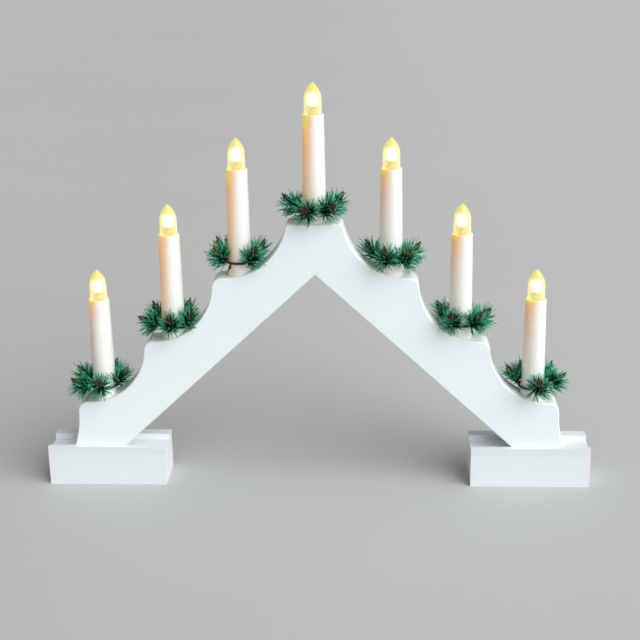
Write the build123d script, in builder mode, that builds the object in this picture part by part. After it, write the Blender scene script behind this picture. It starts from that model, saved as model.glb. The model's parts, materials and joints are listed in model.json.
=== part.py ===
from build123d import *
import os
from math import atan2, cos, degrees, radians, sin, sqrt, tan

# Candle arch: two white boards meet in a mitre and stand in two channelled feet.
# Seven electric candles stand on the stepped upper edge, each in a ring of fir needles.
# Tubes, lamps, screws, dowels and wires are flat-sided turnings, which keeps the whole light.
# Millimetres. X runs to the right, Y to the back, Z up.
# The origin lies on the ground, midway between the feet, in the middle plane of the boards.

# Feet
foot_span = 400.0
foot_length = 87.2
foot_depth = 34.0
foot_height = 30.0
foot_lip = 4.8
channel_depth = 4.0
channel_clearance = 0.1
foot_bevel_drop = 5.7
foot_bevel_in = 0.6
foot_edge_break = 0.6

# Boards
board_thickness = 20.0
apex_height = 198.6
apex_half_width = 20.3
apex_round = 3.0
apex_wood = 37.0
first_step_share = 0.8316
first_shoulder_share = 0.4055
shoulder_round = 7.0
seat_flat = 1.0
toe_run = 5.8
outer_toe_inset = 18.0
inner_toe_inset = 53.84
board_edge_break = 0.7
candle_setback_shares = (0.39, 0.416, 0.371)

# Candle sleeves
sleeve_height = 75.8
sleeve_top_radius = 7.5
sleeve_seat_radius = 8.5
sleeve_bore_radius = 6.5
sleeve_sink = 5.0
sleeve_fit = 0.1
sleeve_sides = 24
seat_cut_headroom = 26.0

# Lamps
lamp_glass_radius = 6.1
lamp_glass_wall = 0.6
lamp_glass_below = 9.5
lamp_tip_above = 21.7
lamp_glass_radius_shares = (1.0, 0.74, 0.36, 0.0)
lamp_glass_height_shares = (0.42, 0.67, 0.87, 1.0)
lamp_sides = 14
cap_radius = 4.78
cap_length = 10.5
cap_collar_height = 0.8
cap_nub_radius = 1.6
cap_nub_height = 0.9
cap_play = 0.07
cap_end_gap = 0.2
led_lead_radius = 1.0
led_radius = 3.4
led_above_rim = 3.4
led_height = 9.0
led_dome_share = 0.4
led_sides = 8
socket_radius = 6.4
socket_floor = 1.6

# Wires
wire_radius = 2.2
riser_radius = 1.2
riser_hole_radius = 2.0
riser_gap = 0.2
wire_joint_radius = 2.0
wire_joint_half = 2.2
wire_gap = 0.3

# Wire channels in the back of the boards
channel_offset = 17.0
channel_width = 7.0
strip_width = 12.0
strip_thickness = 3.0
strip_fit = 0.1
channel_tail = 4.0

# Dowels across the mitre
dowel_radius = 2.5
dowel_length = 30.0
dowel_fit = 0.05
dowel_end_gap = 0.3
dowel_height_shares = (0.26, 0.55)

# Screws up through the feet
foot_screw_radius = 1.75
foot_screw_head_radius = 3.6
foot_screw_head_height = 2.2
foot_screw_sink = 1.0
foot_screw_reach = 11.0
foot_screw_spread_share = 0.25
screw_fit = 0.05

# Battery case, on the back of the right board
case_start = 28.0
case_setback = 0.5
case_wall = 1.3
case_floor = 1.2
case_corner = 3.0
case_fit = 0.1
cell_radius = 5.25
cell_length = 43.7
cell_nub_radius = 1.9
cell_nub_height = 0.8
cell_gap = 0.2
cell_sides = 16
contact_thickness = 0.5
contact_width = 8.0
contact_height = 8.6
contact_fit = 0.05
spring_reach = 4.2
spring_width = 4.0
spring_thickness = 0.5
spring_gap = 0.2
lid_thickness = 1.2
lid_tongue = 0.6
lid_pad_height = 0.7
lid_lip = 0.8
lid_end_gap = 0.3
lid_grip_width = 0.8
lid_grip_pitch = 2.2
lid_grip_depth = 0.3
lid_grip_count = 5
lid_grip_share = 0.5
lid_grip_end_share = 0.2
switch_bay = 8.1
switch_travel = 3.0
switch_knob_length = 3.2
switch_knob_width = 2.8
switch_knob_height = 1.2
switch_base_length = 4.6
switch_base_width = 6.0
switch_base_height = 1.0
case_screw_radius = 1.3
case_screw_head_radius = 2.3
case_screw_length = 9.0
case_screw_offset = 6.0
case_screw_shares = (0.16, 0.68)
lead_hole_radius = 1.6
lead_radius = 1.2

# Wreaths of fir needles
wreath_lift = 9.5
wreath_centre_lift = 7.8
wreath_clearance = 0.2
wreath_ring_width = 3.6
wreath_ring_height = 3.2
wreath_ring_sides = 16
wreath_half_depth = 25.975
hub_radius = 1.8
hub_length = 2.8
hub_sides = 6
needle_radius = 0.5
needle_root = 0.8
needle_root_height = 1.0
needle_wood_gap = 0.6
needle_side_gap = 0.3
inner_row_count = 6
inner_row_angle = 37.0
inner_row_length = 15.5
outer_row_count = 9
outer_row_angle = 64.0
outer_row_length = 14.5

# Each wreath's sprigs, from the left candle to the right: compass angle from +X, then height angle
wreath_sprigs = (
    ((-155, -6), (-92, 20), (-8, 52), (75, 35), (165, 40)),
    ((-168, 10), (-90, 34), (-28, 48), (55, 55), (145, 48)),
    ((-150, 34), (-45, 40), (12, 56), (90, 45), (150, 46)),
    ((-108, 15), (-50, 22), (10, 42), (92, 30), (178, 36)),
    ((-105, 38), (-45, 34), (5, 40), (85, 40), (170, 54)),
    ((-115, 42), (-48, 28), (0, 30), (80, 40), (155, 56)),
    ((-40, 22), (2, 20), (45, 46), (110, 40), (165, 54)),
)

# Cones, one in the middle of each sprig
cone_stalk_radius = 0.7
cone_belly_radius = 2.6
cone_tip_radius = 0.8
cone_length = 7.5
cone_belly_share = 0.42
cone_gap = 0.15
cone_sides = 5

# Sides of the dowels, screws and wires, and of their holes
peg_sides = 10

# Overrun of every cut past the face that it leaves
overrun = 2.0

# Sizes that follow from those above
foot_inner_x = foot_span / 2 - foot_length
channel_floor_y = -wire_radius - wire_gap
dowel_y = (channel_floor_y - board_thickness / 2) / 2
channel_floor_z = foot_height - channel_depth
foot_front_y = -board_thickness / 2 - channel_clearance - foot_lip
foot_back_y = foot_front_y + foot_depth
inner_apex_height = apex_height - apex_wood
outer_toe_x = foot_span / 2 - outer_toe_inset
inner_toe_x = foot_span / 2 - inner_toe_inset
slope = degrees(atan2(inner_apex_height - channel_floor_z, inner_toe_x))
along_x = cos(radians(slope))
along_z = -sin(radians(slope))
wire_top_z = inner_apex_height + channel_offset / along_x
first_shoulder_x = first_shoulder_share * outer_toe_x
shoulder_pitch = (outer_toe_x - toe_run - first_shoulder_x) / 2
seat_step = shoulder_pitch * tan(radians(slope))
first_step = first_step_share * seat_step
leg_width = outer_toe_x - inner_toe_x
leg_middle_x = (outer_toe_x + inner_toe_x) / 2
sleeve_taper = (sleeve_seat_radius - sleeve_top_radius) / sleeve_height
sleeve_foot_radius = sleeve_seat_radius + sleeve_taper * sleeve_sink
seat_bore_radius = sleeve_foot_radius + sleeve_fit
cap_end_below = lamp_glass_below + cap_length + cap_nub_height
socket_top_below = lamp_glass_below + cap_collar_height + cap_end_gap
socket_end_below = cap_end_below + cap_end_gap + socket_floor
cells_width = 4 * cell_radius + cell_gap
cell_bay_width = cells_width + 2 * case_fit
cell_bay_length = cell_length + cell_nub_height + spring_reach + 2 * contact_thickness + 2 * case_fit
cell_bay_depth = 2 * cell_radius + 2 * case_fit
case_width = cell_bay_width + 2 * case_wall
case_length = cell_bay_length + switch_bay + 3 * case_wall
case_depth = case_floor + cell_bay_depth + 2 * case_fit + lid_thickness + lid_lip
case_middle = case_setback + case_width / 2
bay_start = case_start + case_wall
bay_end = bay_start + cell_bay_length
switch_start = bay_end + case_wall
lid_level = case_floor + cell_bay_depth + case_fit
lid_length = cell_bay_length + case_wall - lid_end_gap
lead_place = switch_start + switch_bay / 2
strip_start = channel_offset * along_z / along_x - strip_width
ring_inner = sleeve_seat_radius + wreath_clearance
ring_middle = ring_inner + wreath_ring_width / 2

# The arm's own plane: local X runs down the inner edge and local Y stands out from it.
# The normal faces the front.
arm_plane = Plane(origin=(0, 0, inner_apex_height), x_dir=(along_x, 0, along_z), z_dir=(0, -1, 0))
back_plane = arm_plane.offset(-board_thickness / 2)


def arm_point(along, out):
    """The X and Z of a place measured along the inner edge and out from it."""
    return (along * along_x - out * along_z, inner_apex_height + along * along_z + out * along_x)


def along_at(x, out):
    """How far along the inner edge a place lies, from its X and its distance out."""
    return (x + out * along_z) / along_x


def shoulder(number):
    """The corner that shoulder 0 (the apex) to 3 would have without its rounding, and its radius."""
    if number == 0:
        return apex_half_width, apex_height, apex_round
    x = first_shoulder_x + (number - 1) * shoulder_pitch
    return x, apex_height - first_step - (number - 1) * seat_step, shoulder_round


def seat_arc(number):
    """Centre and radius of the hollow that leads down to seat 1 to 3, and the angle where it starts."""
    upper_x, upper_z, upper_radius = shoulder(number - 1)
    lower_x, lower_z, lower_radius = shoulder(number)
    centre_x = lower_x - lower_radius - seat_flat
    reach = centre_x - upper_x + upper_radius
    rise = lower_z - upper_z + upper_radius
    radius = (reach**2 + rise**2 - upper_radius**2) / (2 * (upper_radius - rise))
    return centre_x, lower_z + radius, radius, degrees(atan2(rise + radius, reach))


def candle_place(number):
    """The X of candle 0 (centre) to 3 and the height of the wood under its axis, on the right."""
    if number == 0:
        return 0.0, apex_height
    centre_x, centre_z, radius, _ = seat_arc(number)
    x = shoulder(number)[0] - candle_setback_shares[number - 1] * shoulder_pitch
    return x, centre_z - sqrt(radius**2 - (centre_x - x) ** 2)


def wire_height_at(x):
    """The height of the wire channel's middle line at a place on the right half."""
    return wire_top_z - x * tan(radians(slope))


def arm_axis(along, out, y):
    """A plane at a place on the arm that faces the back, for what goes in square to the board."""
    x, z = arm_point(along, out)
    return Plane((x, y, z), x_dir=(along_x, 0, along_z), z_dir=(0, 1, 0))


def direction(azimuth, elevation):
    """The unit vector of a compass angle from +X and a height angle."""
    return Vector(1, 0, 0).rotate(Axis.Y, -elevation).rotate(Axis.Z, azimuth)


def corners(radius, sides, height):
    """The corners of a regular polygon round the Z axis, or its middle where it has no size."""
    if radius == 0:
        return [Vector(0, 0, height)]
    return [direction(360 * side / sides, 0) * radius + Vector(0, 0, height) for side in range(sides)]


def faceted(levels, sides):
    """A flat-sided turning round the Z axis, from the radius of its corners at each height, upwards."""
    with BuildPart() as form:
        for (lower_radius, lower), (upper_radius, upper) in zip(levels, levels[1:]):
            if upper > lower:
                ConvexPolyhedron(corners(lower_radius, sides, lower) + corners(upper_radius, sides, upper))
    return form.part


def around(radius, sides):
    """The corner radius of a flat-sided bore whose sides keep clear of a radius."""
    return radius / cos(radians(180 / sides))


def peg(plane, radius, length):
    """A flat-sided rod from a plane along its normal."""
    return faceted([(radius, 0), (radius, length)], peg_sides).moved(plane.location)


def save(piece, label):
    """Name a finished piece and write it."""
    piece.label = label
    export_step(piece, f"parts/{label}.step")


def arm_blank():
    """The right board, cut to its outline and with its edges broken, before it is drilled."""
    with BuildPart() as blank:
        with BuildSketch(Plane.XZ):
            with BuildLine():
                Line((0, inner_apex_height), (0, apex_height))
                Line((0, apex_height), (apex_half_width - apex_round, apex_height))
                for number in range(1, 4):
                    x, z, radius = shoulder(number - 1)
                    centre_x, centre_z, hollow, start = seat_arc(number)
                    CenterArc((x - radius, z - radius), radius, 90, start - 90)
                    seat = CenterArc((centre_x, centre_z), hollow, 180 + start, 90 - start)
                    Line(seat @ 1, seat @ 1 + (seat_flat, 0))
                x, z, radius = shoulder(3)
                CenterArc((x - radius, z - radius), radius, 90, -90)
                TangentArc((x, z - radius), (outer_toe_x, channel_floor_z), tangent=(0, -1))
                Line((outer_toe_x, channel_floor_z), (inner_toe_x, channel_floor_z))
                Line((inner_toe_x, channel_floor_z), (0, inner_apex_height))
            make_face()
        extrude(amount=board_thickness / 2, both=True)
        rims = blank.faces().filter_by(Axis.Y).edges()
        rims = rims.filter_by(lambda edge: edge.center().X > board_edge_break)
        rims = rims.filter_by(lambda edge: edge.center().Z > channel_floor_z + board_edge_break)
        chamfer(rims, board_edge_break)
    return blank.part


def right_arm_common(blank):
    """The drilled and routed right board, without what only the battery case needs."""
    with BuildPart() as arm:
        add(blank)
        for number in range(4):
            x, z = candle_place(number)
            with BuildSketch(Plane.XY.offset(z - sleeve_sink)):
                with Locations((x, 0)):
                    RegularPolygon(seat_bore_radius, sleeve_sides)
            extrude(amount=sleeve_sink + seat_cut_headroom, mode=Mode.SUBTRACT)
            hole_start = wire_height_at(x)
            add(peg(Plane((x, 0, hole_start)), riser_hole_radius, z - hole_start), mode=Mode.SUBTRACT)
        end = along_at(candle_place(3)[0], channel_offset) + channel_tail
        with BuildSketch(back_plane):
            with Locations(((strip_start + end) / 2, channel_offset)):
                SlotCenterToCenter(end - strip_start, channel_width)
        extrude(amount=board_thickness / 2 - channel_floor_y, mode=Mode.SUBTRACT)
        with BuildSketch(back_plane):
            with Locations(((strip_start + end) / 2, channel_offset)):
                SlotCenterToCenter(end - strip_start, strip_width)
        extrude(amount=strip_thickness, mode=Mode.SUBTRACT)
        hole_depth = overrun + dowel_length / 2 + dowel_end_gap
        for plane in dowel_planes(-overrun):
            add(peg(plane, dowel_radius + dowel_fit, hole_depth), mode=Mode.SUBTRACT)
        hole_depth = overrun + foot_screw_reach + screw_fit
        for x in foot_screw_places():
            plane = Plane((x, 0, channel_floor_z - overrun))
            add(peg(plane, foot_screw_radius + screw_fit, hole_depth), mode=Mode.SUBTRACT)
    return arm.part


def dowel_planes(x):
    """The planes across the two dowels at a distance from the mitre."""
    heights = [inner_apex_height + share * apex_wood for share in dowel_height_shares]
    return [Plane((x, dowel_y, height), x_dir=(0, 1, 0), z_dir=(1, 0, 0)) for height in heights]


def foot_screw_places():
    """The X of the two screws in the right foot."""
    spread = foot_screw_spread_share * leg_width
    return [leg_middle_x - spread, leg_middle_x + spread]


def right_foot_block():
    """The right foot: a block with a channel for the board, a front lip and a wider back rail."""
    groove = board_thickness / 2 + channel_clearance
    with BuildPart() as foot:
        with BuildSketch(Plane.YZ.offset(foot_inner_x)):
            with BuildLine():
                Polyline(
                    (foot_front_y, 0),
                    (foot_front_y, foot_height - foot_bevel_drop),
                    (foot_front_y + foot_bevel_in, foot_height),
                    (-groove, foot_height),
                    (-groove, channel_floor_z),
                    (groove, channel_floor_z),
                    (groove, foot_height),
                    (foot_back_y, foot_height),
                    (foot_back_y, 0),
                    close=True,
                )
            make_face()
        extrude(amount=foot_length)
        back_edges = foot.faces().sort_by(Axis.Y)[-1].edges()
        chamfer(back_edges.filter_by(lambda edge: edge.center().Z > foot_edge_break), foot_edge_break)
        head_radius = foot_screw_head_radius + screw_fit
        hole = screw_solid(foot_screw_radius + screw_fit, head_radius, foot_screw_head_height, foot_height)
        for x in foot_screw_places():
            plane = foot_screw_plane(x)
            add(peg(plane, head_radius, foot_screw_sink), mode=Mode.SUBTRACT)
            add(hole.moved(plane.location), mode=Mode.SUBTRACT)
    return foot.part


def foot_screw_plane(x):
    """The plane of a foot screw's head, facing the ground."""
    return Plane((x, 0, foot_screw_sink), x_dir=(1, 0, 0), z_dir=(0, 0, -1))


def screw_solid(radius, head_radius, head_height, length):
    """A countersunk screw that points down from the origin, with its head flush."""
    return faceted([(radius, -length), (radius, -head_height), (head_radius, 0)], peg_sides)


def back_strip():
    """The right board's strip, which closes the wire channel flush with the back."""
    end = along_at(candle_place(3)[0], channel_offset) + channel_tail
    with BuildPart() as strip:
        with BuildSketch(back_plane):
            with Locations(((strip_start + end) / 2, channel_offset)):
                SlotCenterToCenter(end - strip_start, strip_width - 2 * strip_fit)
        extrude(amount=strip_thickness)
        split(bisect_by=Plane.YZ, keep=Keep.TOP)
    return strip.part


def sleeve():
    """A candle tube, slightly narrower at its open top, with its foot below the origin."""
    bore = around(sleeve_bore_radius, sleeve_sides)
    with BuildPart() as tube:
        add(faceted([(sleeve_foot_radius, -sleeve_sink), (sleeve_top_radius, sleeve_height)], sleeve_sides))
        add(faceted([(bore, -sleeve_sink), (bore, sleeve_height)], sleeve_sides), mode=Mode.SUBTRACT)
    return tube.part


def lamp_glass():
    """The clear pointed envelope of a lamp, open below, with the candle's rim at the origin."""
    radii = [share * lamp_glass_radius for share in lamp_glass_radius_shares]
    heights = [share * lamp_tip_above for share in lamp_glass_height_shares]
    bore = lamp_glass_radius - lamp_glass_wall
    with BuildPart() as glass:
        add(faceted([(lamp_glass_radius, -lamp_glass_below)] + list(zip(radii, heights)), lamp_sides))
        hollow = faceted([(bore, -lamp_glass_below), (bore, heights[0]), (0, heights[2])], lamp_sides)
        add(hollow, mode=Mode.SUBTRACT)
    return glass.part


def lamp_cap():
    """The metal screw cap of a lamp, with its round contact below and the collar under the glass."""
    bottom = -lamp_glass_below - cap_length
    collar = -lamp_glass_below - cap_collar_height
    levels = [
        (cap_radius, bottom),
        (cap_radius, collar),
        (lamp_glass_radius, collar),
        (lamp_glass_radius, -lamp_glass_below),
    ]
    with BuildPart() as cap:
        add(faceted(levels, lamp_sides))
        with BuildSketch(Plane.XY.offset(bottom)):
            Circle(cap_nub_radius)
        extrude(amount=-cap_nub_height)
    return cap.part


def lamp_led():
    """The light source, on its leads over the cap."""
    led_top = led_above_rim + led_height
    levels = [
        (led_lead_radius, -lamp_glass_below),
        (led_lead_radius, led_above_rim),
        (led_radius, led_above_rim),
        (led_radius, led_top - led_dome_share * led_height),
        (0, led_top),
    ]
    return faceted(levels, led_sides)


def lamp_socket():
    """The plastic socket pressed into a sleeve, with its floor over the riser."""
    bore = around(cap_radius + cap_play, lamp_sides)
    with BuildPart() as socket:
        add(faceted([(socket_radius, -socket_end_below), (socket_radius, -socket_top_below)], lamp_sides))
        floor = -socket_end_below + socket_floor
        add(faceted([(bore, floor), (bore, -socket_top_below)], lamp_sides), mode=Mode.SUBTRACT)
    return socket.part


def riser(number):
    """The wire that climbs from the channel to the socket of candle 0 to 3."""
    x, z = candle_place(number)
    base = wire_height_at(x)
    return peg(Plane((x, 0, base)), riser_radius, z + sleeve_height - socket_end_below - riser_gap - base)


def side_wires(with_lead):
    """The wires of the right half: the run in the channel, a riser to each socket and the case's lead."""
    start = along_at(wire_joint_half + wire_gap - wire_radius * along_z, channel_offset)
    end = along_at(candle_place(3)[0], channel_offset)
    x, z = arm_point(start, channel_offset)
    with BuildPart() as wires:
        add(peg(Plane((x, 0, z), x_dir=(0, 1, 0), z_dir=(along_x, 0, along_z)), wire_radius, end - start))
        for number in range(1, 4):
            add(riser(number))
        if with_lead:
            lead_length = board_thickness / 2 + case_floor + case_fit
            add(peg(arm_axis(lead_place, channel_offset, 0), lead_radius, lead_length))
    return wires.part


def centre_wires():
    """The joint over the mitre and the centre candle's riser."""
    with BuildPart() as wires:
        start = Plane((-wire_joint_half, 0, wire_height_at(0)), x_dir=(0, 1, 0), z_dir=(1, 0, 0))
        add(peg(start, wire_joint_radius, 2 * wire_joint_half))
        add(riser(0))
    return wires.part


def case_sketch_box(start, length, width, level, height):
    """A block on the back of the right board, in the arm's plane, centred across the case."""
    with BuildPart() as block:
        with BuildSketch(back_plane.offset(-level)):
            with Locations((start + length / 2, case_middle)):
                Rectangle(length, width)
        extrude(amount=-height)
    return block.part


def battery_case():
    """The open case: a bay for two cells with grooves for its lid, and a closed bay for the switch."""
    with BuildPart() as case:
        with BuildSketch(back_plane):
            with Locations((case_start + case_length / 2, case_middle)):
                RectangleRounded(case_length, case_width, case_corner)
        extrude(amount=-case_depth)
        groove_length = case_wall + cell_bay_length + overrun
        groove_width = cell_bay_width + 2 * lid_tongue + 2 * case_fit
        groove_height = lid_thickness + 2 * case_fit
        groove_level = lid_level - case_fit
        mouth = overrun + case_wall + case_fit
        switch_depth = case_depth - case_floor - lid_thickness
        slot_length = switch_knob_length + switch_travel + 2 * case_fit
        slot_start = switch_start + (switch_bay - slot_length) / 2
        slot_width = switch_knob_width + 2 * case_fit
        cuts = (
            (bay_start, cell_bay_length, cell_bay_width, case_floor, case_depth),
            (case_start - overrun, groove_length, groove_width, groove_level, groove_height),
            (case_start - overrun, mouth, cell_bay_width, groove_level, case_depth),
            (switch_start, switch_bay, cell_bay_width, case_floor, switch_depth),
            (slot_start, slot_length, slot_width, case_floor, case_depth),
        )
        for cut in cuts:
            add(case_sketch_box(*cut), mode=Mode.SUBTRACT)
        lead_axis = arm_axis(lead_place, channel_offset, board_thickness / 2)
        add(peg(lead_axis, lead_hole_radius, case_floor), mode=Mode.SUBTRACT)
        hole_radius = case_screw_radius + screw_fit
        hole = screw_solid(hole_radius, case_screw_head_radius, case_floor, case_screw_length)
        for plane in case_screw_planes():
            add(hole.moved(plane.location), mode=Mode.SUBTRACT)
    return case.part


def case_screw_planes():
    """The planes of the case screws' heads, facing the back, flush with the case's floor."""
    level = board_thickness / 2 + case_floor
    places = [case_start + share * case_length for share in case_screw_shares]
    return [arm_axis(place, case_screw_offset, level) for place in places]


def battery_lid():
    """The sliding lid: tongues in the case's grooves, a raised pad between them and grip cuts."""
    pad_width = cell_bay_width - 2 * case_fit
    tongue_width = cell_bay_width + 2 * lid_tongue
    pad_level = lid_level + lid_thickness
    with BuildPart() as lid:
        add(case_sketch_box(case_start, lid_length, tongue_width, lid_level, lid_thickness))
        add(case_sketch_box(case_start, lid_length, pad_width, pad_level, lid_pad_height))
        for number in range(lid_grip_count):
            start = case_start + lid_grip_end_share * lid_length + number * lid_grip_pitch
            level = pad_level + lid_pad_height - lid_grip_depth
            add(
                case_sketch_box(start, lid_grip_width, lid_grip_share * pad_width, level, lid_pad_height),
                mode=Mode.SUBTRACT,
            )
    return lid.part


def cell(side):
    """One cell; the two lie side by side, turned end for end."""
    across = case_middle + side * (2 * cell_radius + cell_gap) / 2
    start = bay_start + contact_thickness + case_fit
    if side < 0:
        start = bay_end - contact_thickness - case_fit
    x, z = arm_point(start, across)
    y = board_thickness / 2 + case_floor + case_fit + cell_radius
    head = Plane((x, y, z), x_dir=(0, 1, 0), z_dir=(side * along_x, 0, side * along_z))
    levels = [
        (cell_nub_radius, 0),
        (cell_nub_radius, cell_nub_height),
        (cell_radius, cell_nub_height),
        (cell_radius, cell_nub_height + cell_length),
    ]
    return faceted(levels, cell_sides).moved(head.location)


def contact(side, at_end):
    """A contact plate at one end of one cell, with a leaf spring where the cell's flat end is."""
    across = case_middle + side * (2 * cell_radius + cell_gap) / 2
    start = bay_end - contact_thickness - contact_fit if at_end else bay_start + contact_fit
    level = case_floor + (cell_bay_depth - contact_height) / 2
    has_spring = at_end == (side > 0)
    with BuildPart() as plate:
        with BuildSketch(back_plane.offset(-level)):
            with Locations((start + contact_thickness / 2, across)):
                Rectangle(contact_thickness, contact_width)
        extrude(amount=-contact_height)
        if has_spring:
            reach = spring_reach - spring_gap
            root = start if at_end else start + contact_thickness
            tip = root - reach if at_end else root + reach
            back = tip + spring_thickness if at_end else tip - spring_thickness
            with BuildSketch(back_plane.offset(-level - (contact_height - spring_width) / 2)):
                with BuildLine():
                    Polyline(
                        (root, across - contact_width / 2),
                        (tip, across),
                        (root, across + contact_width / 2),
                        (root, across + contact_width / 2 - spring_thickness),
                        (back, across),
                        (root, across - contact_width / 2 + spring_thickness),
                        close=True,
                    )
                make_face()
            extrude(amount=-spring_width)
    return plate.part


def switch_slider():
    """The switch's knob and the base that keeps it in its slot, at the end nearer the cells."""
    base_level = case_depth - lid_thickness - case_fit - switch_base_height
    knob_start = switch_start + (switch_bay - switch_travel - switch_knob_length) / 2
    base_start = knob_start + (switch_knob_length - switch_base_length) / 2
    knob_level = base_level + switch_base_height
    knob_height = case_fit + lid_thickness + switch_knob_height
    base = (base_start, switch_base_length, switch_base_width, base_level, switch_base_height)
    knob = (knob_start, switch_knob_length, switch_knob_width, knob_level, knob_height)
    with BuildPart() as slider:
        add(case_sketch_box(*base))
        add(case_sketch_box(*knob))
    return slider.part


def needle(root, way, length):
    """A slender three-sided needle from its root."""
    blade = ConvexPolyhedron(corners(needle_radius, 3, 0) + [Vector(0, 0, length)], mode=Mode.PRIVATE)
    return blade.moved(Plane(root, z_dir=way).location)


def sprig_ways(way):
    """The ways and lengths of a sprig's needles: an inner and an outer row round its own way."""
    frame = Plane((0, 0, 0), z_dir=way)
    rows = (
        (inner_row_count, inner_row_angle, inner_row_length),
        (outer_row_count, outer_row_angle, outer_row_length),
    )
    for count, angle, length in rows:
        for place in range(count):
            leaning = direction(360 * place / count, 90 - angle)
            yield frame.from_local_coords(leaning), length


def sprig_walls(number, azimuths):
    """The inward normals of the two upright planes that part a sprig from its neighbours."""
    before = azimuths[number - 1] - (360 if number == 0 else 0)
    after = azimuths[(number + 1) % len(azimuths)] + (360 if number == len(azimuths) - 1 else 0)
    own = azimuths[number]
    return direction((before + own) / 2 + 90, 0), direction((after + own) / 2 - 90, 0)


def wreath(centre, sprigs, wood):
    """A ring round a candle with a hub and needles for each sprig, and the cones that stand on the hubs.

    A needle or cone that would meet the wood or the candle is left out, and so is a needle
    that would reach in among the next sprig's. No needle stands out beyond the half depth.
    """
    up = Vector(0, 0, sleeve_height)
    candle_axis = Edge.make_line(centre - up, centre + up)
    candle_gap = sleeve_seat_radius + needle_radius + wreath_clearance
    wood_gap = needle_radius + needle_wood_gap
    azimuths = [azimuth for azimuth, _ in sprigs]
    needles = []
    cones = []
    with BuildPart() as ring:
        with BuildSketch(Plane(centre - Vector(0, 0, wreath_ring_height / 2))):
            RegularPolygon(ring_inner + wreath_ring_width, wreath_ring_sides)
            RegularPolygon(around(ring_inner, wreath_ring_sides), wreath_ring_sides, mode=Mode.SUBTRACT)
        extrude(amount=wreath_ring_height)
        for number, (azimuth, elevation) in enumerate(sprigs):
            way = direction(azimuth, elevation)
            foot = centre + direction(azimuth, 0) * ring_middle
            hub = faceted([(hub_radius, 0), (hub_radius, hub_length)], hub_sides)
            add(hub.moved(Plane(foot, z_dir=way).location))
            walls = sprig_walls(number, azimuths)
            for needle_way, length in sprig_ways(way):
                root = foot + way * needle_root_height + needle_way * needle_root
                reach = wreath_half_depth - abs(root.Y)
                if length * abs(needle_way.Y) > reach:
                    length = reach / abs(needle_way.Y)
                tip = root + needle_way * length
                line = Edge.make_line(root, tip)
                inside_walls = all((tip - centre).dot(wall) > needle_side_gap for wall in walls)
                clear_of_candle = line.distance_to(candle_axis) > candle_gap
                if inside_walls and clear_of_candle and line.distance_to(wood) > wood_gap:
                    needles.append(needle(root, needle_way, length))
            base = foot + way * (hub_length + cone_gap)
            line = Edge.make_line(base, base + way * cone_length)
            if line.distance_to(wood) > cone_belly_radius + needle_wood_gap:
                cones.append(cone_solid().moved(Plane(base, z_dir=way).location))
        add(needles)
    return ring.part, cones


def cone_solid():
    """A small closed cone of scales, standing on the origin."""
    belly_height = cone_belly_share * cone_length
    levels = [(cone_stalk_radius, 0), (cone_belly_radius, belly_height), (cone_tip_radius, cone_length)]
    return faceted(levels, cone_sides)


os.makedirs("parts", exist_ok=True)

right_blank = arm_blank()
common_arm = right_arm_common(right_blank)
wood_blanks = Compound([right_blank, mirror(right_blank, about=Plane.YZ)])

with BuildPart() as left_arm:
    add(mirror(common_arm, about=Plane.YZ))
save(left_arm.part, "left_arm")

with BuildPart() as right_arm:
    add(common_arm)
    hole_radius = case_screw_radius + screw_fit
    hole_depth = case_screw_length + screw_fit
    screw_hole = screw_solid(hole_radius, case_screw_head_radius, case_floor, hole_depth)
    for screw_plane in case_screw_planes():
        add(screw_hole.moved(screw_plane.location), mode=Mode.SUBTRACT)
save(right_arm.part, "right_arm")

with BuildPart() as right_foot:
    add(right_foot_block())
save(right_foot.part, "right_foot")

with BuildPart() as left_foot:
    add(mirror(right_foot.part, about=Plane.YZ))
save(left_foot.part, "left_foot")

with BuildPart() as foot_screws:
    screw_length = channel_floor_z - foot_screw_sink + foot_screw_reach
    screw = screw_solid(foot_screw_radius, foot_screw_head_radius, foot_screw_head_height, screw_length)
    for place in foot_screw_places():
        add([screw.moved(foot_screw_plane(side * place).location) for side in (-1, 1)])
save(foot_screws.part, "foot_screws")

with BuildPart() as apex_dowels:
    add([peg(dowel_plane, dowel_radius, dowel_length) for dowel_plane in dowel_planes(-dowel_length / 2)])
save(apex_dowels.part, "apex_dowels")

with BuildPart() as left_back_strip:
    add(mirror(back_strip(), about=Plane.YZ))
save(left_back_strip.part, "left_back_strip")

with BuildPart() as right_back_strip:
    add(back_strip())
    lead_axis = arm_axis(lead_place, channel_offset, board_thickness / 2 - strip_thickness)
    add(peg(lead_axis, lead_hole_radius, strip_thickness), mode=Mode.SUBTRACT)
save(right_back_strip.part, "right_back_strip")

sleeve_form = sleeve()
glass_form = lamp_glass()
cap_form = lamp_cap()
led_form = lamp_led()
socket_form = lamp_socket()
sockets = []
cones = []
for candle in range(1, 8):
    step = abs(candle - 4)
    seat_x, seat_z = candle_place(step)
    if candle < 4:
        seat_x = -seat_x
    seat = Location((seat_x, 0, seat_z))
    rim = Location((seat_x, 0, seat_z + sleeve_height))
    save(sleeve_form.moved(seat), f"candle_sleeve_{candle}")
    save(glass_form.moved(rim), f"lamp_glass_{candle}")
    save(cap_form.moved(rim), f"lamp_cap_{candle}")
    save(led_form.moved(rim), f"lamp_led_{candle}")
    sockets.append(socket_form.moved(rim))
    lift = wreath_lift if step else wreath_centre_lift
    ring, ring_cones = wreath(Vector(seat_x, 0, seat_z + lift), wreath_sprigs[candle - 1], wood_blanks)
    save(ring, f"candle_wreath_{candle}")
    cones += ring_cones

with BuildPart() as lamp_sockets:
    add(sockets)
save(lamp_sockets.part, "lamp_sockets")

with BuildPart() as pine_cones:
    add(cones)
save(pine_cones.part, "pine_cones")

with BuildPart() as wiring_right:
    add(side_wires(with_lead=True))
save(wiring_right.part, "wiring_right")

with BuildPart() as wiring_left:
    add(mirror(side_wires(with_lead=False), about=Plane.YZ))
save(wiring_left.part, "wiring_left")

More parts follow.
